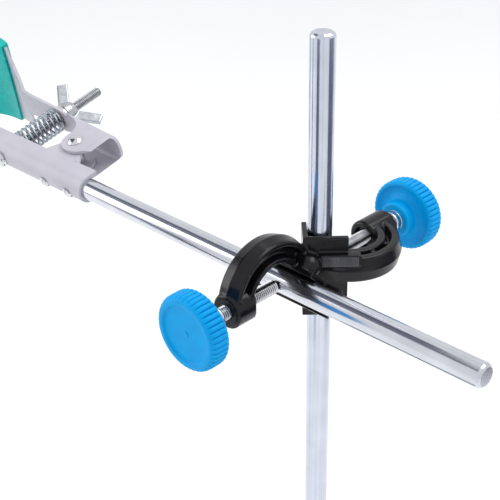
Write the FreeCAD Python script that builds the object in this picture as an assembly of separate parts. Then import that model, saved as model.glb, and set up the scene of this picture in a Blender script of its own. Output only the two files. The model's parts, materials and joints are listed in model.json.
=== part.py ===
import FreeCAD, Part
import math
import os

os.makedirs("parts", exist_ok=True)

V = FreeCAD.Vector

# Frame: the bench is z = 0 and the origin is under the middle of the base plate.
# +X runs along the arm rod towards its free end, +Z is up. All sizes in mm.

# ---- driving sizes ----
POST_R = 5.0             # radius of the upright rod and of the arm rod
POST_X = 98.5            # post axis, measured from the middle of the base plate
POST_TOP_ABOVE_ARM = 100.3
POST_LENGTH = 500.0
ARM_Y = -17.4            # the arm rod passes in front of the post
ARM_FREE_END = 92.9      # from the post axis
ARM_HELD_END = -186.0    # end inside the clamp, from the post axis
CLAMP_ROLL = 15.0        # degrees, roll of the clamp about the arm rod
CLEAR = 0.3              # gap between pieces that move against each other
RUNNING = 0.05           # radial clearance of a shaft in its bore

# ---- base ----
BASE_LENGTH = 250.0
BASE_WIDTH = 160.0
BASE_THICK = 8.0
BASE_CORNER_R = 14.0
BASE_BOSS_R = 15.0
BASE_BOSS_H = 6.0
FOOT_R = 9.0
FOOT_H = 4.0
FOOT_STEM_R = 3.0
FOOT_STEM_H = 5.0
FOOT_INSET = 16.0
POST_PITCH = 1.5
POST_SOCKET_DEPTH = 11.0
LOCK_NUT_FLATS = 17.0
LOCK_NUT_H = 6.0

BASE_TOP = FOOT_H + BASE_THICK
POST_FOOT_Z = BASE_TOP + BASE_BOSS_H - POST_SOCKET_DEPTH
ARM_Z = POST_FOOT_Z + POST_LENGTH - POST_TOP_ABOVE_ARM

# ---- boss head, measured from the post axis at arm height ----
HOOK_RADIAL = 10.4       # from the inside to the outside of a hook
HOOK_WIDE = 11.0         # width of a hook's flanges
HOOK_WEB = 4.0
HOOK_FLANGE = 2.2
POST_HOOK_FLANGE = 3.2
ARM_HOOK_X = -4.0        # middle plane of the hook over the arm rod
ARM_HOOK_Y = -27.0       # centre of that hook
ARM_HOOK_R = 23.4
ARM_BOSS_END = -50.0
POST_HOOK_Z = 3.3        # middle plane of the hook round the post
POST_HOOK_Y = 18.0
POST_HOOK_R = 22.4
POST_BOSS_END = 43.0
SCREW_BOSS_R = 7.2
SCREW_BOSS_LEN = 13.5
KNUCKLE_R = 5.3           # lump where the two hooks meet
RIB_ANGLES = (-10, 24)    # cross ribs in the pocket of the post hook
RIB_WIDE = 1.8
SEAT_WALL = 2.2          # thickness of the vee walls
SEAT_HALF = 18.0         # half height of the post seat
POST_SEAT_LONG = 18.3
POST_SEAT_SHORT = 14.7
ARM_SEAT_LONG = 12.8

# ---- thumbscrews, M6 ----
SCREW_R = 3.0
SCREW_PITCH = 1.0
THREAD_DEPTH = 0.55
KNOB_R = 15.9
KNOB_VALLEY_R = 15.1
KNOB_RIDGES = 44
KNOB_THICK = 9.0
KNOB_HUB_R = 7.6
KNOB_HUB_LEN = 5.5
COLLAR_R = 4.5            # plain collar of the shank under the knob
COLLAR_LEN = 3.2
KNOB_RIM = 2.3
KNOB_DISH = 1.2
ARM_KNOB_FACE = 54.3     # from the arm rod axis to the knob's front face
POST_KNOB_FACE = 63.5    # from the post axis to the knob's front face

# ---- clamp, measured along the arm rod from the post axis ----
SHEET = 1.5
SLEEVE_IN_R = POST_R + RUNNING
SLEEVE_OUT_R = SLEEVE_IN_R + SHEET
SLEEVE_END = -128.0
FLANGE_EDGE = 6.6        # how far the fixed jaw's flanges reach past the rod
PIVOT_X = -155.0
PIVOT_V = 16.5
EAR_R = 6.2               # ear of the fixed jaw
RIVET_R = 2.0
PIP_X = -143.6            # pressed pip beside the fixed jaw's ear
PIP_V = 7.2
BOLT_X = -191.6
BOLT_R = 2.5
BOLT_PITCH = 0.8
BOLT_TIP = 60.5
BOLT_HEAD_R = 4.6
ROD_RIVET_X = (-138.0, -156.0)
ROD_RIVET_TURN = 15.0    # degrees, the rod rivets sit a little below the jaw's middle plane
ROD_RIVET_R = 1.6
WEB_TILT = 3.3           # degrees, slope of the moving jaw's back web
WEB_AT_BOLT = 33.8       # outer face of the web where the bolt passes
WEB_END = -139.0          # rounded end of the moving jaw's web
WEB_END_R = 8.9
WEB_BEND_R = 4.0          # outside radius of the folds between web and flanges
FLANGE_START = -181.0     # the flanges begin beside the bolt
WEB_HALF = 6.5            # half height of the flat web at the bolt
NECK_X = -215.0           # the flat web begins to widen into the palm
PALM_START = -222.0
PALM_TIP = -289.9
PALM_HALF = 25.5
PALM_R = 62.0            # curvature of the gripping palms
COAT = 1.3               # vinyl thickness on each side of a palm
WIDE_X = -236.0           # the palm has its full height from here on
COAT_START = -245.0       # mouth of the vinyl sleeve at mid height
COAT_SLANT = 15.0         # degrees, the dip line of the vinyl leans
FIXED_CHORD = -15.0      # gripping face of the fixed palm where it leaves the arm
WING_THICK = 2.4
WASHER_R = 5.6
WASHER_T = 1.2
WASHER_GAP = 0.45
SPRING_R = 6.0
SPRING_WIRE_R = 0.65
SPRING_TURNS = 8.5


def cylinder(radius, length, base, axis):
    return Part.makeCylinder(radius, length, V(*base), V(*axis))


def box(x0, y0, z0, x1, y1, z1):
    return Part.makeBox(x1 - x0, y1 - y0, z1 - z0, V(x0, y0, z0))


def prism(points, along):
    """Closed polygon through the points, extruded by the vector."""
    wire = Part.makePolygon([V(*p) for p in points] + [V(*points[0])])
    return Part.Face(wire).extrude(V(*along))


def turned(profile):
    """Solid of revolution about Z from (radius, height) points."""
    points = [V(r, 0, z) for r, z in profile]
    face = Part.Face(Part.makePolygon(points + [points[0]]))
    return face.revolve(V(0, 0, 0), V(0, 0, 1), 360)


def threaded(radius, length, pitch, depth, start, stop):
    """Rod along Z with vee grooves at the pitch between start and stop, ends chamfered."""
    chamfer = 0.8 * depth
    profile = [(0, 0), (radius - chamfer, 0), (radius, chamfer)]
    grooves = int((stop - start) / pitch)
    for i in range(grooves):
        z = start + i * pitch
        profile += [(radius, z + 0.08 * pitch)]
        profile += [(radius - depth, z + 0.45 * pitch)]
        profile += [(radius - depth, z + 0.60 * pitch)]
        profile += [(radius, z + 0.97 * pitch)]
    profile += [(radius, length - chamfer), (radius - chamfer, length), (0, length)]
    return turned(profile)


def turn_from_z(shape, axis, origin):
    """Moves a shape built along Z so that it runs along axis from origin."""
    moved = shape.copy()
    turn = FreeCAD.Placement(V(*origin), FreeCAD.Rotation(V(0, 0, 1), V(*axis)))
    moved.Placement = turn.multiply(shape.Placement)
    return moved


def to_arm_level(shape):
    """From the post axis at arm height to the row frame."""
    moved = shape.copy()
    moved.translate(V(POST_X, 0, ARM_Z))
    return moved


def to_clamp(shape):
    """From the clamp's own axes, with the rod along X, to the row frame."""
    moved = shape.copy()
    moved.rotate(V(0, 0, 0), V(1, 0, 0), CLAMP_ROLL)
    moved.translate(V(POST_X, ARM_Y, ARM_Z))
    return moved


def save(name, shapes):
    solids = [s for shape in shapes for s in shape.Solids]
    whole = solids[0] if len(solids) == 1 else Part.makeCompound(solids)
    whole.exportStep("parts/" + name + ".step")
    print(name, len(solids), round(whole.Volume, 1), whole.isValid())


def rounded_plate(length, width, corner, z0, thick):
    plate = box(-length / 2, -width / 2, z0, length / 2, width / 2, z0 + thick)
    upright = [e for e in plate.Edges if abs(e.tangentAt(e.FirstParameter).z) > 0.99]
    return plate.makeFillet(corner, upright)


# ---- base, feet, lock nut, post ----

def foot_places():
    x = BASE_LENGTH / 2 - FOOT_INSET
    y = BASE_WIDTH / 2 - FOOT_INSET
    return [(sx * x, sy * y) for sx in (-1, 1) for sy in (-1, 1)]


def base_plate():
    plate = rounded_plate(BASE_LENGTH, BASE_WIDTH, BASE_CORNER_R, FOOT_H, BASE_THICK)
    top = [e for e in plate.Edges if e.CenterOfMass.z > BASE_TOP - 0.01]
    plate = plate.makeFillet(2.0, top)
    boss = turned([(0, 0), (BASE_BOSS_R + 3, 0), (BASE_BOSS_R + 0.6, 1.6),
                   (BASE_BOSS_R - 0.6, BASE_BOSS_H - 0.8), (BASE_BOSS_R - 1.4, BASE_BOSS_H),
                   (0, BASE_BOSS_H)])
    boss.translate(V(POST_X, 0, BASE_TOP))
    plate = plate.fuse(boss).removeSplitter()
    socket = cylinder(POST_R + RUNNING, POST_SOCKET_DEPTH + 1, (POST_X, 0, POST_FOOT_Z - CLEAR), (0, 0, 1))
    plate = plate.cut(socket)
    for x, y in foot_places():
        plate = plate.cut(cylinder(FOOT_STEM_R, FOOT_STEM_H, (x, y, FOOT_H), (0, 0, 1)))
    return plate


def foot(x, y):
    pad = turned([(0, 0), (FOOT_R - 0.8, 0), (FOOT_R, 0.8), (FOOT_R, FOOT_H - 0.4),
                  (FOOT_R - 0.4, FOOT_H), (FOOT_STEM_R, FOOT_H),
                  (FOOT_STEM_R, FOOT_H + FOOT_STEM_H - 0.6),
                  (FOOT_STEM_R - 0.6, FOOT_H + FOOT_STEM_H - 0.2),
                  (0, FOOT_H + FOOT_STEM_H - 0.2)])
    pad.translate(V(x, y, 0))
    return pad


def hex_nut(flats, height, bore):
    corner = flats / math.sqrt(3)
    ring = [(corner * math.cos(math.radians(60 * i)), corner * math.sin(math.radians(60 * i)), 0)
            for i in range(6)]
    nut = prism(ring, (0, 0, height))
    rounding = turned([(0, 0), (flats / 2, 0), (corner, 0.9), (corner, height - 0.9),
                       (flats / 2, height), (0, height)])
    return nut.common(rounding).cut(cylinder(bore, height, (0, 0, 0), (0, 0, 1)))


def lock_nut():
    nut = hex_nut(LOCK_NUT_FLATS, LOCK_NUT_H, POST_R + RUNNING)
    nut.translate(V(POST_X, 0, BASE_TOP + BASE_BOSS_H))
    return nut


def post():
    thread = POST_SOCKET_DEPTH + LOCK_NUT_H + 6
    rod = threaded(POST_R, POST_LENGTH, POST_PITCH, 0.8, 1.2, thread)
    crown = turned([(0, 0), (POST_R, 0), (POST_R, POST_LENGTH - 1.4), (POST_R - 0.4, POST_LENGTH - 0.6),
                    (POST_R - 1.2, POST_LENGTH), (0, POST_LENGTH)])
    rod = rod.common(crown)
    rod.translate(V(POST_X, 0, POST_FOOT_Z))
    return rod


# ---- boss head ----

def hook_ring(radius, start, sweep, flange):
    """Half ring in the XY plane with an I section, its flanges crowned towards the middle plane."""
    inner = radius - HOOK_RADIAL
    half = HOOK_WIDE / 2
    edge = radius - 1.2
    web = HOOK_WEB / 2
    section = [(inner, -half + 0.5), (inner + 0.5, -half), (inner + flange, -half),
               (inner + flange + 0.8, -web), (edge - flange - 0.8, -web),
               (edge - flange, -half), (edge - 0.5, -half), (edge, -half + 0.6),
               (radius, 0),
               (edge, half - 0.6), (edge - 0.5, half), (edge - flange, half),
               (edge - flange - 0.8, web), (inner + flange + 0.8, web),
               (inner + flange, half), (inner + 0.5, half), (inner, half - 0.5)]
    points = [V(r, 0, z) for r, z in section]
    face = Part.Face(Part.makePolygon(points + [points[0]]))
    ring = face.revolve(V(0, 0, 0), V(0, 0, 1), sweep)
    ring.rotate(V(0, 0, 0), V(0, 0, 1), start)
    return ring


def screw_boss(length):
    """Threaded boss of a hook, built along Z with its outer end at z = length."""
    return turned([(0, 0), (SCREW_BOSS_R - 1.0, 0), (SCREW_BOSS_R, 1.0), (SCREW_BOSS_R, length - 0.8),
                   (SCREW_BOSS_R - 0.8, length), (0, length)])


def vee_seat(short, long, half_long, half_short):
    """Vee trough along Z that opens to +Y, with its inner corner on the rod's far side at the origin's -Y."""
    corner = -(POST_R + 0.02) * math.sqrt(2) - SEAT_WALL * math.sqrt(2)
    walls = []
    for side, reach, half in ((-1, short, half_short), (1, long, half_long)):
        wall = box(0, 0, -half, reach, SEAT_WALL, half)
        if side < 0:
            wall = wall.mirror(V(0, 0, 0), V(1, 0, 0))
        wall.rotate(V(0, 0, 0), V(0, 0, 1), 45 * side)
        wall.translate(V(0, corner, 0))
        walls.append(wall)
    return walls[0].fuse(walls[1])


def hook_ribs():
    """Radial ribs across the pocket of the post hook."""
    ribs = []
    low = HOOK_WIDE / 2 - 1.2
    for angle in RIB_ANGLES:
        rib = box(POST_HOOK_R - HOOK_RADIAL + 1, -RIB_WIDE / 2, -low, POST_HOOK_R - 2, RIB_WIDE / 2, low)
        rib.rotate(V(0, 0, 0), V(0, 0, 1), angle)
        rib.translate(V(0, POST_HOOK_Y, POST_HOOK_Z))
        ribs.append(rib)
    return ribs


def boss_head():
    half = HOOK_WIDE / 2
    # hook round the post, in a level plane, screw on its +Y end
    post_hook = hook_ring(POST_HOOK_R, -105, 185, POST_HOOK_FLANGE)
    post_hook.translate(V(0, POST_HOOK_Y, POST_HOOK_Z))
    post_boss = turn_from_z(screw_boss(SCREW_BOSS_LEN + 2), (0, 1, 0),
                            (0, POST_BOSS_END - SCREW_BOSS_LEN - 2, POST_HOOK_Z))
    # hook over the arm rod, in an upright plane, screw on its -Y end
    arm_hook = hook_ring(ARM_HOOK_R, 0, 180, HOOK_FLANGE)
    arm_hook.rotate(V(0, 0, 0), V(1, 0, 0), 90)
    arm_hook.rotate(V(0, 0, 0), V(0, 0, 1), 90)
    arm_hook.translate(V(ARM_HOOK_X, ARM_HOOK_Y, 0))
    arm_boss = turn_from_z(screw_boss(SCREW_BOSS_LEN), (0, -1, 0),
                           (ARM_HOOK_X, ARM_BOSS_END + SCREW_BOSS_LEN, 0))
    post_seat = vee_seat(POST_SEAT_SHORT, POST_SEAT_LONG, SEAT_HALF, SEAT_HALF)
    arm_seat = vee_seat(ARM_SEAT_LONG, ARM_SEAT_LONG, SEAT_HALF - 7, SEAT_HALF + 1)
    arm_seat.rotate(V(0, 0, 0), V(0, 0, 1), 180)
    arm_seat.rotate(V(0, 0, 0), V(0, 1, 0), 90)
    arm_seat.translate(V(0, ARM_Y, 0))
    # core that joins the two seats and the feet of both hooks
    core = box(-9, -12.7, -9, 5, -7.4, 12)
    core = core.makeFillet(2.0, core.Edges)
    knuckle = Part.makeSphere(KNUCKLE_R, V(3.3, -10.3, 6.7))
    # raised pad on the outside of the post hook, square to the long wall of the post seat
    pad = box(-0.5, -10.6, 6.2, 16.0, -6.5, 11.4)
    pad = pad.makeFillet(0.5, pad.Edges)
    pad.rotate(V(0, 0, 0), V(0, 0, 1), 45)
    body = post_hook
    for piece in (post_boss, arm_hook, arm_boss, post_seat, arm_seat, core, knuckle, pad, *hook_ribs()):
        body = body.fuse(piece)
    # room for the two rods and the two screws
    body = body.cut(cylinder(POST_R + 0.02, 80, (0, 0, -40), (0, 0, 1)))
    body = body.cut(cylinder(POST_R + 0.02, 80, (-40, ARM_Y, 0), (1, 0, 0)))
    post_mouth = prism([(0, -7.1, -40), (30, 22.9, -40), (-30, 22.9, -40)], (0, 0, 80))
    keep_post_hook = cylinder(POST_HOOK_R - HOOK_RADIAL, 80, (0, POST_HOOK_Y, -40), (0, 0, 1))
    body = body.cut(post_mouth.common(keep_post_hook))
    arm_mouth = prism([(-40, ARM_Y + 7.1, 0), (-40, ARM_Y - 22.9, 30), (-40, ARM_Y - 22.9, -30)],
                      (80, 0, 0))
    keep_arm_hook = cylinder(ARM_HOOK_R - HOOK_RADIAL, 80, (-40, ARM_HOOK_Y, 0), (1, 0, 0))
    body = body.cut(arm_mouth.common(keep_arm_hook))
    body = body.cut(cylinder(SCREW_R + RUNNING, 80, (0, 10, POST_HOOK_Z), (0, 1, 0)))
    body = body.cut(cylinder(SCREW_R + CLEAR, 8, (0, 3, POST_HOOK_Z), (0, 1, 0)))
    body = body.cut(cylinder(SCREW_R + RUNNING, 40, (ARM_HOOK_X, -60, 0), (0, 1, 0)))
    body = body.cut(cylinder(4.6, 4.0, (0, POST_BOSS_END - SCREW_BOSS_LEN - 3, POST_HOOK_Z), (0, 1, 0)))
    return body.removeSplitter()


# ---- thumbscrews ----

def knob():
    """Thumbscrew knob along Z: hub at the bottom, front face at z = hub length + thickness."""
    step = 360.0 / KNOB_RIDGES
    arcs = []
    for i in range(KNOB_RIDGES):
        a0 = math.radians(step * i)
        a1 = math.radians(step * (i + 0.5))
        a2 = math.radians(step * (i + 1))
        start = V(KNOB_VALLEY_R * math.cos(a0), KNOB_VALLEY_R * math.sin(a0), 0)
        crest = V(KNOB_R * math.cos(a1), KNOB_R * math.sin(a1), 0)
        stop = V(KNOB_VALLEY_R * math.cos(a2), KNOB_VALLEY_R * math.sin(a2), 0)
        arcs.append(Part.Arc(start, crest, stop).toShape())
    height = KNOB_HUB_LEN + KNOB_THICK
    ridged = Part.Face(Part.Wire(arcs)).extrude(V(0, 0, height))
    front = height
    back = KNOB_HUB_LEN
    body = turned([
        (0, 0), (KNOB_HUB_R - 0.8, 0), (KNOB_HUB_R, 0.8), (KNOB_HUB_R, back - 0.5),
        (KNOB_HUB_R + 2.0, back + 0.6), (KNOB_R - 3.2, back + 0.6), (KNOB_R - 2.4, back),
        (KNOB_R - 1.6, back), (KNOB_R + 0.2, back + 1.6), (KNOB_R + 0.2, front - 2.0),
        (KNOB_R - 0.6, front - 0.7), (KNOB_R - 1.6, front), (KNOB_R - KNOB_RIM, front),
        (KNOB_R - KNOB_RIM - 1.4, front - KNOB_DISH), (0, front - KNOB_DISH)])
    solid = ridged.common(body)
    return solid.cut(cylinder(SCREW_R + RUNNING, front - KNOB_DISH - 2.0, (0, 0, 0), (0, 0, 1)))


def thumbscrew(tip_from_axis, face_from_axis):
    """(shank, knob) along Z with the clamped rod's axis at z = 0."""
    shank_end = face_from_axis - KNOB_DISH - 2.3
    shank = threaded(SCREW_R, shank_end - tip_from_axis, SCREW_PITCH, THREAD_DEPTH, 0.9,
                     face_from_axis - KNOB_THICK - KNOB_HUB_LEN - COLLAR_LEN - tip_from_axis)
    shank.translate(V(0, 0, tip_from_axis))
    hub = face_from_axis - KNOB_THICK - KNOB_HUB_LEN
    collar = turned([(0, 0), (COLLAR_R - 0.5, 0), (COLLAR_R, 0.5), (COLLAR_R, COLLAR_LEN - CLEAR),
                     (0, COLLAR_LEN - CLEAR)])
    collar.translate(V(0, 0, hub - COLLAR_LEN))
    shank = shank.fuse(collar)
    head = knob()
    head.translate(V(0, 0, hub))
    return shank, head


# ---- arm rod and clamp, in the clamp's axes: x along the rod, y across the jaws, z up ----

def arm_rod():
    length = ARM_FREE_END - ARM_HELD_END
    rod = turned([(0, 0), (POST_R - 1.0, 0), (POST_R, 1.0), (POST_R, length - 1.4),
                  (POST_R - 0.4, length - 0.6), (POST_R - 1.2, length), (0, length)])
    rod = turn_from_z(rod, (1, 0, 0), (ARM_HELD_END, 0, 0))
    for x in ROD_RIVET_X:
        half = ROD_RIVET_R + CLEAR
        ring = cylinder(POST_R + 1, 2 * half, (x - half, 0, 0), (1, 0, 0))
        ring = ring.cut(cylinder(POST_R - 1.6, 2 * half, (x - half, 0, 0), (1, 0, 0)))
        rod = rod.cut(ring)
    return rod


def palm_band(side, chord_v, x_from, low_offset, thick):
    """Curved strip seen along Z, bulging to the given side, whose face at the chord is the gripping side."""
    middle = (PALM_START + PALM_TIP) / 2
    half = (PALM_START - PALM_TIP) / 2
    centre_v = chord_v - side * math.sqrt(PALM_R * PALM_R - half * half)
    reach = PALM_HALF + COAT + 2
    inner = PALM_R + low_offset
    ring = cylinder(inner + thick, 2 * reach, (middle, centre_v, -reach), (0, 0, 1))
    ring = ring.cut(cylinder(inner, 2 * reach, (middle, centre_v, -reach), (0, 0, 1)))
    ends = (chord_v - side * 12, chord_v + side * 40)
    return ring.common(box(PALM_TIP, min(ends), -reach, x_from, max(ends), reach))


def plan_outline(x_right, half_right, x_flat, half_flat, x_neck, x_wide, half_wide, tip, corner):
    """Outline of a jaw seen from the side, extruded across the jaws."""
    low = [(x_right, half_right), (x_flat, half_flat), (x_neck, half_flat)]
    steps = 6
    for i in range(1, steps + 1):
        turn = math.radians(90 * i / steps)
        low.append((x_neck + (x_wide - x_neck) * math.sin(turn),
                    half_flat + (half_wide - half_flat) * (1 - math.cos(turn))))
    for i in range(steps + 1):
        turn = math.radians(90 * i / steps)
        low.append((tip + corner * (1 - math.sin(turn)), half_wide - corner * (1 - math.cos(turn))))
    points = [(x, -60, -half) for x, half in low] + [(x, -60, half) for x, half in reversed(low)]
    return prism(points, (0, 140, 0))


def web_v(x):
    """Outer face of the moving jaw's web at x."""
    return WEB_AT_BOLT + (BOLT_X - x) * math.tan(math.radians(WEB_TILT))


def moving_chord():
    """Gripping face of the moving palm where it leaves the web."""
    return web_v(PALM_START) - SHEET / math.cos(math.radians(WEB_TILT))


def strip(points, thick_v, half):
    """Plate through (x, v) points, thick_v deep towards -v, extruded both ways along Z."""
    top = [(x, v, -half) for x, v in points]
    under = [(x, v - thick_v, -half) for x, v in reversed(points)]
    return prism(top + under, (0, 0, 2 * half))


def folded_channel(x0, x1, half, fold):
    """U channel along X: web outside at v = 0, flanges towards -v, folds rounded outside and inside."""
    shapes = []
    for inset in (0, SHEET):
        block = box(x0 - inset, -30 - inset, -half + inset, x1 + inset, -inset, half - inset)
        folds = [e for e in block.Edges
                 if abs(e.CenterOfMass.y + inset) < 1e-6 and abs(abs(e.CenterOfMass.z) - half + inset) < 1e-6]
        shapes.append(block.makeFillet(fold - inset, folds))
    return shapes[0].cut(shapes[1])


def ear_plan(depth):
    """Flange and ear of the moving jaw seen along the pivot: a curve round the pivot, then the web side."""
    curve = [(WEB_END, PIVOT_V + 5), (WEB_END - 4, PIVOT_V - 2), (PIVOT_X + 8, PIVOT_V - 5.8),
             (PIVOT_X + 1.5, PIVOT_V - 7.2), (PIVOT_X - 4.5, PIVOT_V - 5.4),
             (PIVOT_X - 7.4, PIVOT_V - 0.7), (PIVOT_X - 7.8, PIVOT_V + 4),
             (PIVOT_X - 10.2, PIVOT_V + 9.2), (PIVOT_X - 16, PIVOT_V + 12.8),
             (FLANGE_START, PIVOT_V + 15)]
    points = [V(x, v, -depth) for x, v in curve]
    spline = Part.BSplineCurve()
    spline.interpolate(points)
    closing = Part.makePolygon([points[-1], V(FLANGE_START, 60, -depth), V(WEB_END, 60, -depth), points[0]])
    face = Part.Face(Part.Wire([spline.toShape()] + closing.Edges))
    return face.extrude(V(0, 0, 2 * depth))


def moving_jaw():
    half = SLEEVE_OUT_R + CLEAR + SHEET
    start = PALM_START
    channel = folded_channel(FLANGE_START - 10, WEB_END + 10, half, WEB_BEND_R)
    channel.translate(V(0, WEB_AT_BOLT, 0))
    channel.rotate(V(BOLT_X, WEB_AT_BOLT, 0), V(0, 0, 1), -WEB_TILT)
    channel = channel.common(ear_plan(half + 1))
    rounded = cylinder(WEB_END_R, 80, (WEB_END - WEB_END_R, -20, 0), (0, 1, 0))
    rounded = rounded.fuse(box(-300, -20, -40, WEB_END - WEB_END_R, 60, 40))
    channel = channel.common(rounded)
    web = strip([(FLANGE_START + 2, web_v(FLANGE_START + 2)), (start, web_v(start))],
                SHEET / math.cos(math.radians(WEB_TILT)), PALM_HALF)
    palm = palm_band(1, moving_chord(), start, 0, SHEET)
    sheet = web.fuse(palm)
    sheet = sheet.common(plan_outline(FLANGE_START + 3, half - WEB_BEND_R, BOLT_X + 4, WEB_HALF, NECK_X,
                                      WIDE_X, PALM_HALF, PALM_TIP + COAT, 9))
    body = sheet.fuse(channel)
    body = body.cut(cylinder(RIVET_R + RUNNING, 40, (PIVOT_X, PIVOT_V, -20), (0, 0, 1)))
    slot_half = 6.0
    slot = box(BOLT_X - slot_half, 20, -BOLT_R - CLEAR, BOLT_X + slot_half, 45, BOLT_R + CLEAR)
    return body.cut(slot).removeSplitter()


def fixed_jaw():
    tube_end = -206.0
    length = SLEEVE_END - tube_end
    wrap = cylinder(SLEEVE_OUT_R, length, (tube_end, 0, 0), (1, 0, 0))
    wrap = wrap.fuse(box(tube_end, 0, -SLEEVE_OUT_R, SLEEVE_END, FLANGE_EDGE, SLEEVE_OUT_R))
    hollow = cylinder(SLEEVE_IN_R, length, (tube_end, 0, 0), (1, 0, 0))
    hollow = hollow.fuse(box(tube_end, 0, -SLEEVE_IN_R, SLEEVE_END, 60, SLEEVE_IN_R))
    ears = []
    for side in (-1, 1):
        z0 = SLEEVE_IN_R if side > 0 else -SLEEVE_OUT_R
        outline = [(SLEEVE_END - 12, FLANGE_EDGE - 1, z0), (PIVOT_X + EAR_R, PIVOT_V - 1, z0),
                   (PIVOT_X, PIVOT_V + EAR_R - 0.5, z0), (PIVOT_X - EAR_R, PIVOT_V, z0),
                   (PIVOT_X - 12, FLANGE_EDGE - 1, z0)]
        ears.append(prism(outline, (0, 0, SHEET)))
        ears.append(cylinder(EAR_R, SHEET, (PIVOT_X, PIVOT_V, z0), (0, 0, 1)))
    front = strip([(-196, -SLEEVE_IN_R), (-206, -SLEEVE_IN_R), (PALM_START, FIXED_CHORD)],
                  SHEET, PALM_HALF)
    palm = palm_band(-1, FIXED_CHORD, PALM_START, 0, SHEET)
    sheet = front.fuse(palm)
    sheet = sheet.common(plan_outline(-196, 4.0, -200, 5.0, NECK_X, WIDE_X, PALM_HALF,
                                      PALM_TIP + COAT, 9))
    body = wrap
    for piece in ears:
        body = body.fuse(piece)
    body = body.cut(hollow).fuse(sheet)
    pip = turn_from_z(domed(1.3, 0.7), (0, 0, 1), (PIP_X, PIP_V, SLEEVE_OUT_R - 0.05))
    body = body.fuse(pip)
    body = body.cut(cylinder(RIVET_R + 0.01, 40, (PIVOT_X, PIVOT_V, -20), (0, 0, 1)))
    body = body.cut(cylinder(BOLT_R + 0.02, 20, (BOLT_X, -15, 0), (0, 1, 0)))
    for x in ROD_RIVET_X:
        hole = cylinder(ROD_RIVET_R + 0.01, 20, (x, -20, 0), (0, 1, 0))
        hole.rotate(V(0, 0, 0), V(1, 0, 0), ROD_RIVET_TURN)
        body = body.cut(hole)
    return body.removeSplitter()


def palm_coat(side, chord_v, jaw):
    """Vinyl sleeve over a palm, cut to the sheet it covers and along the leaning dip line."""
    wide = PALM_HALF + COAT
    start = COAT_START + 12
    skin = palm_band(side, chord_v, start, -COAT, SHEET + 2 * COAT)
    outline = plan_outline(start, wide, start - 0.5, wide, start - 1, start - 2, wide, PALM_TIP, 10)
    dipped = box(-120, -60, -60, 0, 80, 60)
    dipped.rotate(V(0, 0, 0), V(0, 1, 0), COAT_SLANT)
    dipped.translate(V(COAT_START, 0, 0))
    return skin.common(outline).common(dipped).cut(jaw)


def domed(radius, height):
    """Domed head along +Z with its flat side at z = 0."""
    ball = (radius * radius + height * height) / (2 * height)
    sphere = Part.makeSphere(ball, V(0, 0, height - ball))
    return sphere.common(Part.makeCylinder(radius, height, V(0, 0, 0), V(0, 0, 1)))


def rod_rivet(x):
    shank = cylinder(ROD_RIVET_R, SLEEVE_OUT_R - POST_R + 1.2, (x, -SLEEVE_OUT_R, 0), (0, 1, 0))
    head = turn_from_z(domed(3.2, 1.5), (0, -1, 0), (x, -SLEEVE_OUT_R, 0))
    rivet = shank.fuse(head)
    rivet.rotate(V(0, 0, 0), V(1, 0, 0), ROD_RIVET_TURN)
    return rivet


def pivot_rivet():
    reach = SLEEVE_OUT_R + CLEAR + SHEET + 0.1
    shank = cylinder(RIVET_R, 2 * reach, (PIVOT_X, PIVOT_V, -reach), (0, 0, 1))
    top = turn_from_z(domed(4.0, 2.0), (0, 0, 1), (PIVOT_X, PIVOT_V, reach))
    low = turn_from_z(domed(4.0, 1.6), (0, 0, -1), (PIVOT_X, PIVOT_V, -reach))
    return shank.fuse(top).fuse(low)


def clamp_bolt():
    under_head = -SLEEVE_OUT_R
    length = BOLT_TIP - under_head
    shank = threaded(BOLT_R, length, BOLT_PITCH, 0.42, 34.0, length - 0.6)
    shank = turn_from_z(shank, (0, 1, 0), (BOLT_X, under_head, 0))
    head = turn_from_z(domed(BOLT_HEAD_R, 2.6), (0, -1, 0), (BOLT_X, under_head, 0))
    return shank.fuse(head)


def washer_v():
    """Inner face of the washer, just clear of the tilted web."""
    return web_v(BOLT_X - WASHER_R) + WASHER_GAP


def washer():
    ring = cylinder(WASHER_R, WASHER_T, (BOLT_X, washer_v(), 0), (0, 1, 0))
    return ring.cut(cylinder(BOLT_R + RUNNING, 4, (BOLT_X, washer_v() - 1, 0), (0, 1, 0)))


def wing_nut():
    base = washer_v() + WASHER_T + CLEAR
    hub = turned([(0, 0), (5.6, 0), (5.8, 0.5), (5.0, 4.0), (4.2, 6.2), (3.6, 6.8), (0, 6.8)])
    half = WING_THICK / 2
    wing = prism([(1.5, -half, 0.8), (5.2, -half, 0.8), (16.6, -half, 10.0),
                  (13.8, -half, 15.0), (2.6, -half, 6.4)], (0, WING_THICK, 0))
    wing = wing.makeFillet(0.6, wing.Edges)
    nut = hub
    for turn in (0, 180):
        blade = wing.copy()
        blade.rotate(V(0, 0, 0), V(0, 0, 1), turn)
        nut = nut.fuse(blade)
    nut = nut.cut(cylinder(BOLT_R + RUNNING, 12, (0, 0, -1), (0, 0, 1)))
    nut.rotate(V(0, 0, 0), V(0, 0, 1), 25)
    return turn_from_z(nut, (0, 1, 0), (BOLT_X, base, 0))


def spring():
    start = FLANGE_EDGE + SPRING_WIRE_R + 0.1
    stop = web_v(BOLT_X + SPRING_R) - SHEET - SPRING_WIRE_R - 0.5
    length = stop - start
    helix = Part.makeHelix(length / SPRING_TURNS, length, SPRING_R)
    corners = []
    for i in range(8):
        angle = math.radians(45 * i + 22.5)
        corners.append(V(SPRING_R + SPRING_WIRE_R * math.cos(angle), 0, SPRING_WIRE_R * math.sin(angle)))
    ring = Part.makePolygon(corners + [corners[0]])
    coil = Part.Wire(helix).makePipeShell([ring], True, True)
    return turn_from_z(coil, (0, 1, 0), (BOLT_X, start, 0))


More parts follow.
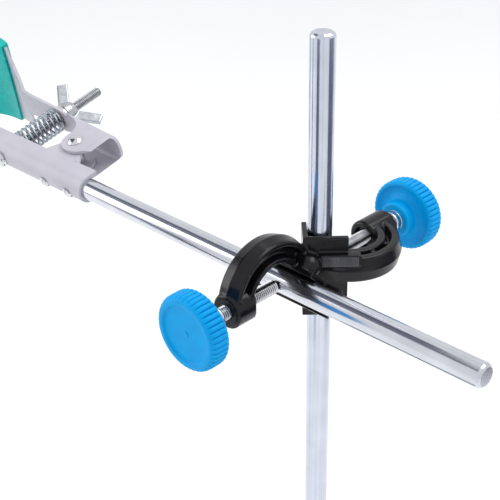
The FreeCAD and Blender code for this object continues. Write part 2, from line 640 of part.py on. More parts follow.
def main():
    save("base_plate", [base_plate()])
    save("rubber_feet", [foot(x, y) for x, y in foot_places()])
    save("post_lock_nut", [lock_nut()])
    save("post", [post()])
    save("boss_head", [to_arm_level(boss_head())])

    shank, head = thumbscrew(POST_R + CLEAR, ARM_KNOB_FACE)
    at = (ARM_HOOK_X, ARM_Y, 0)
    save("arm_screw_shank", [to_arm_level(turn_from_z(shank, (0, -1, 0), at))])
    save("arm_screw_knob", [to_arm_level(turn_from_z(head, (0, -1, 0), at))])
    shank, head = thumbscrew(POST_R + CLEAR, POST_KNOB_FACE)
    at = (0, 0, POST_HOOK_Z)
    save("post_screw_shank", [to_arm_level(turn_from_z(shank, (0, 1, 0), at))])
    save("post_screw_knob", [to_arm_level(turn_from_z(head, (0, 1, 0), at))])

    rod = arm_rod()
    rod.translate(V(POST_X, ARM_Y, ARM_Z))
    save("arm_rod", [rod])
    fixed = fixed_jaw()
    moving = moving_jaw()
    save("fixed_jaw", [to_clamp(fixed)])
    save("moving_jaw", [to_clamp(moving)])
    save("fixed_jaw_coat", [to_clamp(palm_coat(-1, FIXED_CHORD, fixed))])
    save("moving_jaw_coat", [to_clamp(palm_coat(1, moving_chord(), moving))])
    save("rod_rivets", [to_clamp(rod_rivet(x)) for x in ROD_RIVET_X])
    save("pivot_rivet", [to_clamp(pivot_rivet())])
    save("clamp_bolt", [to_clamp(clamp_bolt())])
    save("washer", [to_clamp(washer())])
    save("wing_nut", [to_clamp(wing_nut())])
    save("jaw_spring", [to_clamp(spring())])


main()
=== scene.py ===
import bpy
import bmesh
import json
import math
from mathutils import Matrix, Vector


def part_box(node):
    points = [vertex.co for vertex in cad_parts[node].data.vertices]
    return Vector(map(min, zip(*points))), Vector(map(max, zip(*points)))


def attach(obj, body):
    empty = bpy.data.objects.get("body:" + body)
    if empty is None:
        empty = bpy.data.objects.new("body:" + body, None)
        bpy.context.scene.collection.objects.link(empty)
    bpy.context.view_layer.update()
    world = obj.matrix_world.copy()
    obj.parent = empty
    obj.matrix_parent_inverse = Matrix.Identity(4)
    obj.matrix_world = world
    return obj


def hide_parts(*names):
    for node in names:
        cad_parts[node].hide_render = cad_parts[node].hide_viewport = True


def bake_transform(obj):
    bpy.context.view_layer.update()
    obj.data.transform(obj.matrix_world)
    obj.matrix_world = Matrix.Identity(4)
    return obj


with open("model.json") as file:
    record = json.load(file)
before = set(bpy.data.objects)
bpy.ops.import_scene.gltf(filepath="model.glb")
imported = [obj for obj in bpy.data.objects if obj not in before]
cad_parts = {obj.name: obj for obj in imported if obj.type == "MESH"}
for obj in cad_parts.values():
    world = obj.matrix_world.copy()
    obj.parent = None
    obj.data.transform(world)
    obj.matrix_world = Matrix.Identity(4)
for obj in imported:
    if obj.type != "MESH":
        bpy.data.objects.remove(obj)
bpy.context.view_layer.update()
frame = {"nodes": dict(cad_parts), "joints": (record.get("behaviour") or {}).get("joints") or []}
scene = bpy.context.scene

MM = 0.001


# ---------------------------------------------------------------- places read from the frame

def middle(node):
    low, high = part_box(node)
    return (low + high) / 2


JOINTS = {j["name"]: j for j in frame["joints"]}
POST_X = middle("post").x
POST_Y = middle("post").y
ARM_Y = middle("arm_rod").y
ARM_Z = middle("arm_rod").z
BOSS_AT = Vector((POST_X, POST_Y, ARM_Z))

# the clamp is rolled about the arm rod: its own axes are x along the rod, y across the jaws, z up
ACROSS = Vector(JOINTS["washer_feed"]["axis"]).normalized()
UPWARD = Vector((1, 0, 0)).cross(ACROSS)
CLAMP = Matrix((
    (1, ACROSS.x, UPWARD.x, POST_X),
    (0, ACROSS.y, UPWARD.y, ARM_Y),
    (0, ACROSS.z, UPWARD.z, ARM_Z),
    (0, 0, 0, 1)))


def local_box(node, matrix):
    """Low and high corner of a node in a matrix's own axes, in mm."""
    obj = frame["nodes"][node]
    inverse = matrix.inverted() @ obj.matrix_world
    points = [inverse @ v.co for v in obj.data.vertices]
    low = Vector([min(p[i] for p in points) for i in range(3)]) / MM
    high = Vector([max(p[i] for p in points) for i in range(3)]) / MM
    return low, high


# ---------------------------------------------------------------- mesh helpers, all sizes in mm

def make_object(name, verts, faces, matrix=None, sharp=40.0):
    """Mesh object from points in mm, placed by a matrix in metres, smooth except at sharp edges."""
    mesh = bpy.data.meshes.new(name)
    mesh.from_pydata([tuple(c * MM for c in v) for v in verts], [], faces)
    mesh.validate()
    bm = bmesh.new()
    bm.from_mesh(mesh)
    bmesh.ops.remove_doubles(bm, verts=bm.verts, dist=1e-7)
    bmesh.ops.recalc_face_normals(bm, faces=bm.faces)
    bm.to_mesh(mesh)
    bm.free()
    if matrix is not None:
        mesh.transform(matrix)
    mesh.shade_smooth()
    mesh.set_sharp_from_angle(angle=math.radians(sharp))
    obj = bpy.data.objects.new(name, mesh)
    scene.collection.objects.link(obj)
    return obj


def grid_faces(rows, columns, closed=True):
    """Quads over a grid of points; a closed grid also joins its last column to its first."""
    faces = []
    column_count = columns if closed else columns - 1
    for i in range(rows - 1):
        for j in range(column_count):
            a = i * columns + j
            b = i * columns + (j + 1) % columns
            c = (i + 1) * columns + (j + 1) % columns
            d = (i + 1) * columns + j
            faces.append((a, b, c, d))
    return faces


def mark_grooves(obj, radius, depth, matrix):
    """Stores how far below the crest each point of a screw lies, for its material's painted shade in the
    thread roots.
    """
    inverse = matrix.inverted()
    attribute = obj.data.attributes.new("groove", "FLOAT", "POINT")
    for i, vertex in enumerate(obj.data.vertices):
        local = inverse @ vertex.co / MM
        below = radius - math.hypot(local.x, local.y)
        attribute.data[i].value = min(max(below / depth, 0.0), 1.0)


def lathe(profile, steps):
    """Surface of revolution about Z from (radius, height) points that start and end on the axis."""
    verts = []
    for r, z in profile:
        for j in range(steps):
            angle = 2 * math.pi * j / steps
            verts.append((r * math.cos(angle), r * math.sin(angle), z))
    return verts, grid_faces(len(profile), steps)


def smooth_path(points, per_span):
    """Catmull-Rom points through a 2-D profile, for rounded corners."""
    out = []
    n = len(points)
    for i in range(n - 1):
        p0 = points[max(i - 1, 0)]
        p1 = points[i]
        p2 = points[i + 1]
        p3 = points[min(i + 2, n - 1)]
        for k in range(per_span):
            t = k / per_span
            out.append(tuple(
                0.5 * (2 * b + (c - a) * t + (2 * a - 5 * b + 4 * c - d) * t * t
                       + (3 * b - a - 3 * c + d) * t ** 3)
                for a, b, c, d in zip(p0, p1, p2, p3)))
    out.append(points[-1])
    return out


def bevel(obj, width_mm, segments=3, angle=35.0):
    modifier = obj.modifiers.new("edge_bevel", "BEVEL")
    modifier.width = width_mm * MM
    modifier.segments = segments
    modifier.limit_method = "ANGLE"
    modifier.angle_limit = math.radians(angle)
    modifier.harden_normals = False
    return modifier


def along(axis, origin):
    """Matrix that takes +Z to the axis and the mesh's origin to the point."""
    turn = Vector(axis).normalized().to_track_quat("Z", "Y").to_matrix().to_4x4()
    return Matrix.Translation(origin) @ turn


def finish_piece(obj, material, body, node=None):
    """Gives a piece its material and body, and hides the CAD node that it stands for."""
    obj.data.materials.clear()
    obj.data.materials.append(material)
    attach(obj, body)
    if node:
        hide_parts(node)
    return obj


# ---------------------------------------------------------------- materials

def new_material(name):
    material = bpy.data.materials.new(name)
    material.use_nodes = True
    nodes = material.node_tree.nodes
    shader = nodes["Principled BSDF"]
    return material, nodes, material.node_tree.links, shader


def noise_node(nodes, links, scale, detail=3.0, stretch=(1, 1, 1), roughness=0.5):
    coords = nodes.new("ShaderNodeTexCoord")
    mapping = nodes.new("ShaderNodeMapping")
    mapping.inputs["Scale"].default_value = stretch
    links.new(coords.outputs["Object"], mapping.inputs["Vector"])
    noise = nodes.new("ShaderNodeTexNoise")
    noise.inputs["Scale"].default_value = scale
    noise.inputs["Detail"].default_value = detail
    noise.inputs["Roughness"].default_value = roughness
    links.new(mapping.outputs["Vector"], noise.inputs["Vector"])
    return noise


def ramp_node(nodes, links, source, stops):
    ramp = nodes.new("ShaderNodeValToRGB")
    elements = ramp.color_ramp.elements
    elements[0].position, elements[0].color = stops[0][0], (*stops[0][1], 1)
    elements[1].position, elements[1].color = stops[-1][0], (*stops[-1][1], 1)
    for position, colour in stops[1:-1]:
        element = elements.new(position)
        element.color = (*colour, 1)
    links.new(source, ramp.inputs["Fac"])
    return ramp


def grey(value):
    return (value, value, value)


def painted_shade_in_grooves(nodes, links, colour, shader, dark):
    """Painted shade: darkens a base colour where the mesh's groove attribute is deep, as shade in the
    thread roots.
    """
    groove = nodes.new("ShaderNodeAttribute")
    groove.attribute_name = "groove"
    mix = nodes.new("ShaderNodeMixRGB")
    mix.inputs["Color2"].default_value = (*dark, 1)
    links.new(groove.outputs["Fac"], mix.inputs["Fac"])
    links.new(colour, mix.inputs["Color1"])
    links.new(mix.outputs["Color"], shader.inputs["Base Color"])


def bump_from(nodes, links, shader, height, strength, distance):
    bump = nodes.new("ShaderNodeBump")
    bump.inputs["Strength"].default_value = strength
    bump.inputs["Distance"].default_value = distance
    links.new(height, bump.inputs["Height"])
    links.new(bump.outputs["Normal"], shader.inputs["Normal"])
    return bump


def plated_steel(name, stretch, tint=(0.80, 0.81, 0.85), rough=(0.07, 0.2)):
    """Bright zinc plate with drawing lines along one axis and faint cloudy patches."""
    material, nodes, links, shader = new_material(name)
    shader.inputs["Metallic"].default_value = 1.0
    lines = noise_node(nodes, links, 60.0, 4.0, stretch, 0.6)
    clouds = noise_node(nodes, links, 90.0, 2.0)
    dark = tuple(c * 0.86 for c in tint)
    colour = ramp_node(nodes, links, lines.outputs["Fac"], [(0.35, dark), (0.62, tint)])
    rough_ramp = ramp_node(nodes, links, lines.outputs["Fac"],
                           [(0.3, grey(rough[0])), (0.7, grey(rough[1]))])
    mix = nodes.new("ShaderNodeMixRGB")
    mix.blend_type = "MULTIPLY"
    mix.inputs["Fac"].default_value = 0.25
    links.new(colour.outputs["Color"], mix.inputs["Color1"])
    links.new(clouds.outputs["Fac"], mix.inputs["Color2"])
    # painted shade: thread roots darkened towards (0.10, 0.11, 0.12)
    painted_shade_in_grooves(nodes, links, mix.outputs["Color"], shader, (0.10, 0.11, 0.12))
    links.new(rough_ramp.outputs["Color"], shader.inputs["Roughness"])
    bump_from(nodes, links, shader, lines.outputs["Fac"], 0.12, 0.00004)
    return material


def gloss_enamel(name, low, high, rough=(0.16, 0.32), peel=0.25, specular=0.5):
    """Glossy paint over a casting, with a fine orange peel and faint dust."""
    material, nodes, links, shader = new_material(name)
    patches = noise_node(nodes, links, 120.0, 5.0)
    peel_noise = noise_node(nodes, links, 1400.0, 2.0)
    colour = ramp_node(nodes, links, patches.outputs["Fac"], [(0.35, low), (0.7, high)])
    links.new(colour.outputs["Color"], shader.inputs["Base Color"])
    rough_ramp = ramp_node(nodes, links, patches.outputs["Fac"],
                           [(0.3, grey(rough[0])), (0.75, grey(rough[1]))])
    links.new(rough_ramp.outputs["Color"], shader.inputs["Roughness"])
    shader.inputs["Specular IOR Level"].default_value = specular
    bump_from(nodes, links, shader, peel_noise.outputs["Fac"], peel, 0.00008)
    return material


def moulded_plastic(name, low, high, rough=(0.3, 0.42), specular=0.5, scatter=0.1):
    """Coloured moulded plastic with a fine spark texture and slight flow marks."""
    material, nodes, links, shader = new_material(name)
    flow = noise_node(nodes, links, 160.0, 2.0, (1, 1, 1), 0.4)
    spark = noise_node(nodes, links, 2600.0, 2.0)
    colour = ramp_node(nodes, links, flow.outputs["Fac"], [(0.3, low), (0.7, high)])
    links.new(colour.outputs["Color"], shader.inputs["Base Color"])
    rough_ramp = ramp_node(nodes, links, flow.outputs["Fac"],
                           [(0.3, grey(rough[0])), (0.75, grey(rough[1]))])
    links.new(rough_ramp.outputs["Color"], shader.inputs["Roughness"])
    shader.inputs["Specular IOR Level"].default_value = specular
    shader.inputs["Subsurface Weight"].default_value = scatter
    shader.inputs["Subsurface Radius"].default_value = (0.2, 0.6, 1.0)
    shader.inputs["Subsurface Scale"].default_value = 0.0015
    bump_from(nodes, links, shader, spark.outputs["Fac"], 0.12, 0.00004)
    return material


def powder_coat(name, low, high, rough=(0.34, 0.5)):
    """Light powder coat over sheet steel, fine stipple, soft gloss."""
    material, nodes, links, shader = new_material(name)
    stipple = noise_node(nodes, links, 1800.0, 3.0)
    tone = noise_node(nodes, links, 70.0, 3.0)
    colour = ramp_node(nodes, links, tone.outputs["Fac"], [(0.35, low), (0.68, high)])
    links.new(colour.outputs["Color"], shader.inputs["Base Color"])
    rough_ramp = ramp_node(nodes, links, stipple.outputs["Fac"],
                           [(0.3, grey(rough[0])), (0.75, grey(rough[1]))])
    links.new(rough_ramp.outputs["Color"], shader.inputs["Roughness"])
    bump_from(nodes, links, shader, stipple.outputs["Fac"], 0.2, 0.00006)
    return material


def rubber(name):
    material, nodes, links, shader = new_material(name)
    grain = noise_node(nodes, links, 900.0, 4.0)
    colour = ramp_node(nodes, links, grain.outputs["Fac"], [(0.3, grey(0.018)), (0.75, grey(0.05))])
    links.new(colour.outputs["Color"], shader.inputs["Base Color"])
    shader.inputs["Roughness"].default_value = 0.75
    bump_from(nodes, links, shader, grain.outputs["Fac"], 0.3, 0.0001)
    return material


STEEL_POST = plated_steel("steel_post", (14, 14, 0.12), (0.74, 0.78, 0.88), (0.1, 0.24))
STEEL_ARM = plated_steel("steel_arm", (0.12, 14, 14), (0.80, 0.82, 0.88), (0.1, 0.24))
STEEL_SMALL = plated_steel("steel_small", (3, 3, 3), (0.84, 0.85, 0.88), (0.1, 0.22))
STEEL_NUT = plated_steel("steel_nut", (5, 5, 5), (0.62, 0.64, 0.68), (0.16, 0.3))
STEEL_SPRING = plated_steel("steel_spring", (3, 3, 3), (0.42, 0.46, 0.52), (0.12, 0.24))
BOSS_BLACK = gloss_enamel("boss_black", (0.003, 0.0025, 0.0035), (0.007, 0.006, 0.008),
                          (0.14, 0.26), 0.2, 0.3)
# the grain's paint is lighter than the casting's black: a painted sheen on the ribs
BOSS_GRAIN_PAINTED_SHEEN = gloss_enamel("boss_grain_painted_sheen", (0.03, 0.03, 0.034), (0.12, 0.12, 0.13),
                          (0.2, 0.3), 0.2, 0.6)
KNOB_BLUE = moulded_plastic("knob_blue", (0.0, 0.31, 0.70), (0.0, 0.345, 0.76),
                            (0.34, 0.46), 0.12, 0.05)
JAW_GREY = powder_coat("jaw_grey", (0.455, 0.44, 0.50), (0.50, 0.485, 0.545))
PALM_GREEN = moulded_plastic("palm_green", (0.0, 0.37, 0.345), (0.0, 0.44, 0.41),
                             (0.2, 0.32), 0.1, 0.02)
BASE_GREY = gloss_enamel("base_grey", (0.075, 0.08, 0.085), (0.12, 0.125, 0.13),
                         (0.3, 0.45), 0.6)
FOOT_BLACK = rubber("foot_black")


# ---------------------------------------------------------------- thumbscrews

SCREW_R = 3.0
SCREW_PITCH = 1.0
SCREW_THREAD_DEPTH = 0.6
SCREW_THREAD_START = 0.8
KNOB_R = 15.9
KNOB_VALLEY = 14.95
KNOB_RIDGES = 44
KNOB_THICK = 9.0
KNOB_HUB = 5.5
COLLAR_LEN = 3.2
COLLAR = [(0.0, 0.0), (3.6, 0.0), (4.2, 0.15), (4.5, 0.6),
          (4.5, 1.7), (4.5, 2.7), (4.3, 3.1), (0.0, 3.12)]


def knob_mesh():
    """Knob about Z, hub at z = 0 and front face on top. Ridges fade out at the rim and the back."""
    back = KNOB_HUB
    front = KNOB_HUB + KNOB_THICK
    rows = [
        (0, 0.35, 0), (3.4, 0.35, 0), (3.6, 0.0, 0), (6.4, 0.0, 0), (7.2, 0.3, 0), (7.6, 1.0, 0),
        (7.6, 2.4, 0), (7.6, back - 1.0, 0), (7.8, back - 0.2, 0), (8.3, back + 0.3, 0),
        (9.2, back + 0.7, 0), (10.4, back + 1.5, 0), (12.2, back + 1.2, 0), (13.4, back + 0.5, 0),
        (14.1, back + 0.05, 0.0), (14.9, back + 0.1, 0.25), (15.6, back + 0.7, 0.8),
        (15.9, back + 1.5, 1), (15.9, back + 3.0, 1), (15.9, back + 4.5, 1), (15.9, back + 6.0, 1),
        (15.75, back + 7.0, 0.95), (15.35, back + 7.9, 0.7), (14.7, back + 8.55, 0.3),
        (13.9, front, 0), (12.6, front, 0), (12.1, front - 0.2, 0), (11.7, front - 0.7, 0),
        (11.0, front - 1.0, 0), (8.0, front - 1.15, 0), (4.0, front - 1.15, 0), (1.4, front - 1.15, 0),
        (1.2, front - 1.0, 0), (0.8, front - 0.85, 0), (0.0, front - 0.8, 0)]
    fine = smooth_path(rows, 3)
    steps = KNOB_RIDGES * 10
    depth = KNOB_R - KNOB_VALLEY
    verts = []
    for r, z, weight in fine:
        for j in range(steps):
            angle = 2 * math.pi * j / steps
            valley = 1 - abs(math.sin(KNOB_RIDGES * angle / 2)) ** 0.45
            rr = max(r, 0.0) - max(weight, 0.0) * depth * valley
            verts.append((rr * math.cos(angle), rr * math.sin(angle), z))
    return verts, grid_faces(len(fine), steps)


def thread_depth(z, turn, pitch, start, stop):
    """How deep in the thread a point is: 0 on a crest or a plain part, 1 at a root."""
    phase = ((z - start) / pitch - turn) % 1.0
    root = min(1.0, max(0.0, 1.35 - abs(phase * 2 - 1) * 1.7))
    inside = min(max((z - start) / pitch, 0.0), max((stop - z) / pitch, 0.0), 1.0)
    return root * inside


def thread_mesh(radius, length, pitch, depth, start, stop):
    """Screw along Z with a real helix between start and stop and rounded ends."""
    steps = 40
    per_pitch = 8
    chamfer = 0.8
    heights = [0.0, 0.02]
    rows = int((length - 0.04) / pitch * per_pitch)
    heights += [0.02 + (length - 0.04) * (i + 1) / rows for i in range(rows)]
    heights += [length]
    verts = []
    for k, z in enumerate(heights):
        for j in range(steps):
            turn = j / steps
            r = radius - depth * thread_depth(z, turn, pitch, start, stop)
            r = min(r, radius - chamfer + z, radius - chamfer * 0.6 + (length - z))
            if k in (0, len(heights) - 1):
                r = 0.0
            verts.append((r * math.cos(2 * math.pi * turn), r * math.sin(2 * math.pi * turn), z))
    return verts, grid_faces(len(heights), steps)


def thumbscrew(name, knob_node, shank_node, knob_body, shank_body, axis):
    """Shank with a helical thread and a collar, and a ridged knob, along the axis away from the rod."""
    direction = Vector(axis)
    low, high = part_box(shank_node)
    centre = (low + high) / 2
    length = abs((high - low).dot(direction)) / MM
    tip = centre - direction * length * MM / 2
    klow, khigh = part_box(knob_node)
    kcentre = (klow + khigh) / 2
    height = abs((khigh - klow).dot(direction)) / MM
    hub = kcentre - direction * height * MM / 2
    hub_z = (hub - tip).dot(direction) / MM
    place = along(direction, tip)
    verts, faces = thread_mesh(SCREW_R, hub_z, SCREW_PITCH, SCREW_THREAD_DEPTH, SCREW_THREAD_START,
                               hub_z + SCREW_PITCH)
    shank = make_object(name + "_thread", verts, faces, place, 60)
    mark_grooves(shank, SCREW_R, SCREW_THREAD_DEPTH, place)
    finish_piece(shank, STEEL_SMALL, shank_body, shank_node)
    verts, faces = lathe(smooth_path(COLLAR, 3), 48)
    collar_points = [(x, y, z + hub_z - COLLAR_LEN) for x, y, z in verts]
    collar = make_object(name + "_collar", collar_points, faces, place, 40)
    finish_piece(collar, STEEL_SMALL, shank_body, shank_node)
    knob = make_object(name + "_grip", *knob_mesh(), along(direction, hub), 60)
    finish_piece(knob, KNOB_BLUE, knob_body, knob_node)


thumbscrew("arm_screw", "arm_screw_knob", "arm_screw_shank", "arm_knob", "arm_screw", (0, -1, 0))
thumbscrew("post_screw", "post_screw_knob", "post_screw_shank", "post_knob", "post_screw", (0, 1, 0))


# ---------------------------------------------------------------- boss head

def copy_node(node, name):
    source = frame["nodes"][node]
    obj = bpy.data.objects.new(name, source.data.copy())
    scene.collection.objects.link(obj)
    return obj


def apply_modifiers(obj):
    depsgraph = bpy.context.evaluated_depsgraph_get()
    mesh = bpy.data.meshes.new_from_object(obj.evaluated_get(depsgraph))
    obj.modifiers.clear()
    obj.data = mesh
    return obj


def cast_skin(node, name, voxel_mm, rounds):
    """Copy of a CAD node with its edges softened, as casting, forging and paint soften them."""
    obj = copy_node(node, name)
    remesh = obj.modifiers.new("remesh", "REMESH")
    remesh.mode = "VOXEL"
    remesh.voxel_size = voxel_mm * MM
    soften = obj.modifiers.new("soften", "LAPLACIANSMOOTH")
    soften.iterations = rounds
    soften.lambda_factor = 0.35
    soften.use_volume_preserve = True
    apply_modifiers(obj)
    obj.data.shade_smooth()
    return obj


PAD_WIDE = 14.6
PAD_TALL = 4.2
PAD_START = 0.4      # along the pad's face from the post's axis
PAD_DEPTH = 10.58    # from the post's axis to the face, just inside the casting's skin
PAD_FOOT = 6.7       # above the arm rod
GRAIN_STEP = 0.18
GRAIN_ROWS = 24
GRAIN_PITCH = 0.95
GRAIN_HEIGHT = 0.28
GRAIN_SINK = 0.02    # how far the grain's roots lie below its own zero plane
GRAIN_FADE = 0.25    # width of the border over which the ribs die out


def pad_face():
    """Frame of the cast pad's face: x along the face, y up, z out of it."""
    face_x = Vector((1, 1, 0)).normalized()
    face_z = Vector((1, -1, 0)).normalized()
    corner = BOSS_AT + face_x * PAD_START * MM + face_z * PAD_DEPTH * MM + Vector((0, 0, PAD_FOOT * MM))
    return Matrix((
        (face_x.x, 0, face_z.x, corner.x),
        (face_x.y, 0, face_z.y, corner.y),
        (0, 1, 0, corner.z),
        (0, 0, 0, 1)))


def cast_grain():
    """Close upright ribs of the cast pad, with a slow sideways wave."""
    steps = int(PAD_WIDE / GRAIN_STEP)
    verts = []
    for k in range(GRAIN_ROWS + 1):
        y = PAD_TALL * k / GRAIN_ROWS
        wave = 1.4 * math.sin(2 * math.pi * y / (2 * GRAIN_PITCH))
        for i in range(steps + 1):
            x = PAD_WIDE * i / steps
            edge = min(x, PAD_WIDE - x, y, PAD_TALL - y)
            crest = 0.5 + 0.5 * math.sin(2 * math.pi * x / GRAIN_PITCH + wave)
            verts.append((x, y, GRAIN_HEIGHT * crest * min(1.0, edge / GRAIN_FADE) - GRAIN_SINK))
    faces = grid_faces(GRAIN_ROWS + 1, steps + 1, closed=False)
    grain = make_object("cast_grain", verts, faces, pad_face(), 60)
    # the ribs take the lighter paint: a painted sheen on the grain
    finish_piece(grain, BOSS_GRAIN_PAINTED_SHEEN, "boss", None)


boss_casting = cast_skin("boss_head", "boss_casting", 0.45, 6)
finish_piece(boss_casting, BOSS_BLACK, "boss", "boss_head")
cast_grain()


# ---------------------------------------------------------------- clamp hardware

SPRING_WIRE_R = 0.65
SPRING_TURNS = 9.5
SPRING_CLOSED_TURNS = 0.9
BOLT_R = 2.5
BOLT_PITCH = 0.8
BOLT_THREAD_DEPTH = 0.45
BOLT_THREAD_START = 12.0     # from under the head, where the thread begins
BOLT_HEAD_DEEP = 2.3         # the shank starts this far inside the head
BOLT_HEAD = [(0.0, 0.0), (1.4, 0.05), (2.8, 0.35), (3.9, 0.95),
             (4.4, 1.6), (4.55, 2.2), (4.55, 2.55), (0.0, 2.55)]


def helix_tube(coil_radius, wire_radius, start, stop, turns, closed_turns):
    """Round wire wound along Y from start to stop, its end turns lying flat against each other."""
    steps_per_turn = 40
    around = 12
    steps = int(turns * steps_per_turn)
    rise = []
    for i in range(steps + 1):
        at = i / steps_per_turn
        near_end = min(at, turns - at)
        rise.append(0.35 if near_end < closed_turns else 1.0)
    heights = [0.0]
    for i in range(1, steps + 1):
        heights.append(heights[-1] + (rise[i] + rise[i - 1]) / 2)
    scale = (stop - start) / heights[-1]
    verts = []
    for i, h in enumerate(heights):
        angle = 2 * math.pi * i / steps_per_turn
        outward = Vector((math.cos(angle), 0, math.sin(angle)))
        centre = outward * coil_radius + Vector((0, start + h * scale, 0))
        for j in range(around):
            turn = 2 * math.pi * j / around
            verts.append(centre + outward * math.cos(turn) * wire_radius
                         + Vector((0, 1, 0)) * math.sin(turn) * wire_radius)
    faces = grid_faces(steps + 1, around)
    first = tuple(range(around))
    last = tuple(steps * around + j for j in reversed(range(around)))
    return verts, faces + [first, last]


def jaw_spring():
    low, high = local_box("jaw_spring", CLAMP)
    coil_radius = (high.x - low.x) / 2 - SPRING_WIRE_R
    middle_x = (high.x + low.x) / 2
    verts, faces = helix_tube(coil_radius, SPRING_WIRE_R, low.y + SPRING_WIRE_R, high.y - SPRING_WIRE_R,
                              SPRING_TURNS, SPRING_CLOSED_TURNS)
    spring = make_object("wound_spring", [v + Vector((middle_x, 0, 0)) for v in verts], faces, CLAMP, 80)
    spring.data.materials.append(STEEL_SPRING)
    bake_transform(spring)
    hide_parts("jaw_spring")


def clamp_bolt():
    """Pan head bolt with a rolled thread, along the clamp's Y."""
    low, high = local_box("clamp_bolt", CLAMP)
    turn = Matrix.Rotation(math.radians(-90), 4, "X")
    axis = Matrix.Translation((low.x / 2 * MM + high.x / 2 * MM, 0, 0)) @ turn
    place = CLAMP @ axis
    head_top = low.y
    verts, faces = lathe(smooth_path(BOLT_HEAD, 3), 48)
    head_obj = make_object("bolt_head", [(x, y, z + head_top) for x, y, z in verts], faces, place, 40)
    start = head_top + BOLT_HEAD_DEEP
    length = high.y - start
    verts, faces = thread_mesh(BOLT_R, length, BOLT_PITCH, BOLT_THREAD_DEPTH, BOLT_THREAD_START, length + 1)
    shank = make_object("bolt_thread", [(x, y, z + start) for x, y, z in verts], faces, place, 60)
    mark_grooves(shank, BOLT_R, BOLT_THREAD_DEPTH, place)
    finish_piece(head_obj, STEEL_SMALL, "clamp", None)
    finish_piece(shank, STEEL_SMALL, "clamp", None)
    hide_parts("clamp_bolt")
    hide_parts("clamp_bolt")


jaw_spring()
clamp_bolt()
rod_rivets = cast_skin("rod_rivets", "rod_rivet_domes", 0.12, 3)
finish_piece(rod_rivets, STEEL_SMALL, "clamp", "rod_rivets")
pivot_rivet = cast_skin("pivot_rivet", "pivot_rivet_dome", 0.15, 3)
finish_piece(pivot_rivet, STEEL_SMALL, "clamp", "pivot_rivet")
wing_nut = cast_skin("wing_nut", "wing_nut_forged", 0.2, 4)
finish_piece(wing_nut, STEEL_NUT, "wing_nut", "wing_nut")


# ---------------------------------------------------------------- carried-over nodes

def paint(node, material, bevel_mm=0.0):
    obj = frame["nodes"][node]
    obj.data.materials.clear()
    obj.data.materials.append(material)
    if bevel_mm:
        bevel(obj, bevel_mm)


paint("post", STEEL_POST)
paint("arm_rod", STEEL_ARM)
for hardware in ("post_lock_nut", "washer"):
    paint(hardware, STEEL_SMALL, 0.15)
for jaw in ("fixed_jaw", "moving_jaw"):
    paint(jaw, JAW_GREY, 0.35)
for coat in ("fixed_jaw_coat", "moving_jaw_coat"):
    paint(coat, PALM_GREEN, 0.5)
paint("base_plate", BASE_GREY, 0.8)
paint("rubber_feet", FOOT_BLACK)


# ---------------------------------------------------------------- floor, light, camera

def floor_material():
    material, nodes, links, shader = new_material("floor")
    tone = noise_node(nodes, links, 2.0, 2.0)
    colour = ramp_node(nodes, links, tone.outputs["Fac"], [(0.3, grey(0.93)), (0.7, grey(0.95))])
    links.new(colour.outputs["Color"], shader.inputs["Base Color"])
    shader.inputs["Roughness"].default_value = 0.9
    shader.inputs["Specular IOR Level"].default_value = 0.1
    return material


floor = make_object("floor", [(-4000, -4000, 0), (4000, -4000, 0), (4000, 4000, 0), (-4000, 4000, 0)],
                    [(0, 1, 2, 3)])
floor.data.materials.append(floor_material())

world = bpy.data.worlds.new("studio")
scene.world = world
world.use_nodes = True
world.node_tree.nodes["Background"].inputs["Color"].default_value = (0.97, 0.98, 1.0, 1)
world.node_tree.nodes["Background"].inputs["Strength"].default_value = 0.9


def area_light(name, place, target, size, power):
    data = bpy.data.lights.new(name, "AREA")
    data.shape = "RECTANGLE"
    data.size, data.size_y = size
    data.energy = power
    obj = bpy.data.objects.new(name, data)
    obj.location = place
    obj.rotation_mode = "QUATERNION"
    obj.rotation_quaternion = (Vector(target) - Vector(place)).to_track_quat("-Z", "Y")
    scene.collection.objects.link(obj)
    return obj


def card_material(name, low, high):
    """Matt card, darker at its foot."""
    material, nodes, links, shader = new_material(name)
    coords = nodes.new("ShaderNodeTexCoord")
    split = nodes.new("ShaderNodeSeparateXYZ")
    links.new(coords.outputs["Generated"], split.inputs["Vector"])
    tone = noise_node(nodes, links, 3.0, 2.0)
    add = nodes.new("ShaderNodeMath")
    add.operation = "MULTIPLY_ADD"
    add.inputs[1].default_value = 0.12
    links.new(tone.outputs["Fac"], add.inputs[0])
    links.new(split.outputs["Z"], add.inputs[2])
    colour = ramp_node(nodes, links, add.outputs[0], [(0.0, low), (1.0, high)])
    links.new(colour.outputs["Color"], shader.inputs["Base Color"])
    shader.inputs["Roughness"].default_value = 0.9
    shader.inputs["Specular IOR Level"].default_value = 0.1
    return material


def hide_card(obj):
    """A card is only seen in the plated and painted surfaces."""
    obj.visible_camera = False
    obj.visible_diffuse = False
    obj.visible_shadow = False
    obj.visible_transmission = False


def curved_card(name, start_deg, stop_deg, distance, low_z, high_z, material):
    """Upright card that follows a circle round the post."""
    steps = 24
    verts = []
    for z in (low_z, high_z):
        for i in range(steps + 1):
            angle = math.radians(start_deg + (stop_deg - start_deg) * i / steps)
            verts.append((distance * math.cos(angle) + POST_X / MM, distance * math.sin(angle), z))
    card = make_object(name, verts, grid_faces(2, steps + 1, closed=False))
    card.data.materials.append(material)
    hide_card(card)


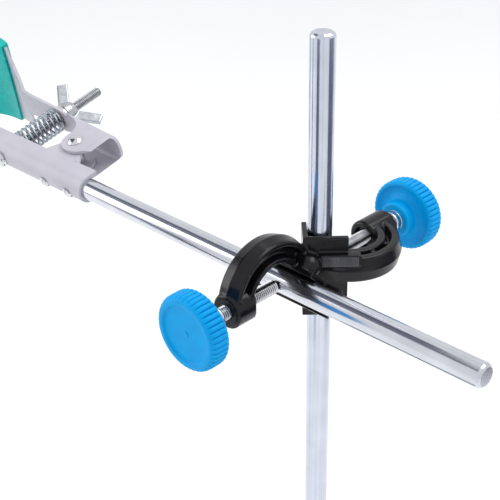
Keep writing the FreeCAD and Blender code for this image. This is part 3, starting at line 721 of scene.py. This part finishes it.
SLATE = card_material("slate_card", (0.05, 0.055, 0.09), (0.16, 0.17, 0.24))
CHARCOAL = card_material("charcoal_card", (0.06, 0.065, 0.095), (0.14, 0.15, 0.20))
curved_card("card_right", 10, 66, 620, 1, 330, SLATE)
curved_card("card_left", -96, -72, 620, 1, 330, SLATE)
curved_card("card_edge", -142, -135, 620, 1, 330, SLATE)

# dark ceiling card that the arm rod reflects along its upper half
ceiling = make_object("card_ceiling", [(-1500, -250, 0), (-200, -250, 0), (-200, 420, 0), (-1500, 420, 0)],
                      [(0, 1, 2, 3)], Matrix.Translation(BOSS_AT + Vector((-0.1, -0.45, 0.75))))
ceiling.data.materials.append(CHARCOAL)
hide_card(ceiling)

area_light("top_softbox", BOSS_AT + Vector((0.3, 0.5, 1.2)), BOSS_AT, (1.2, 0.8), 9)
area_light("left_softbox", BOSS_AT + Vector((-1.2, -0.7, 0.5)), BOSS_AT, (0.8, 1.2), 6)

# the camera was solved from the two rods: its place is measured from the post axis at arm height
CAMERA_AZIMUTH = math.radians(44.87)
CAMERA_ELEVATION = math.radians(29.15)
CAMERA_ROLL = math.radians(-1.09)
CAMERA_PLACE = Vector((0.2621, -0.3033, 0.2322))
LENS_MM = 81.31

camera_data = bpy.data.cameras.new("camera")
camera_data.sensor_width = 36.0
camera_data.lens = LENS_MM
camera_data.clip_start = 0.01
camera_data.clip_end = 20.0
camera = bpy.data.objects.new("camera", camera_data)
scene.collection.objects.link(camera)
back = Vector((math.sin(CAMERA_AZIMUTH) * math.cos(CAMERA_ELEVATION),
               -math.cos(CAMERA_AZIMUTH) * math.cos(CAMERA_ELEVATION),
               math.sin(CAMERA_ELEVATION)))
right = Vector((math.cos(CAMERA_AZIMUTH), math.sin(CAMERA_AZIMUTH), 0))
upright = back.cross(right)
right_rolled = right * math.cos(CAMERA_ROLL) + upright * math.sin(CAMERA_ROLL)
up_rolled = upright * math.cos(CAMERA_ROLL) - right * math.sin(CAMERA_ROLL)
camera.matrix_world = Matrix.Translation(BOSS_AT + CAMERA_PLACE) @ Matrix(
    (right_rolled, up_rolled, back)).transposed().to_4x4()
scene.camera = camera

scene.view_settings.view_transform = "Standard"
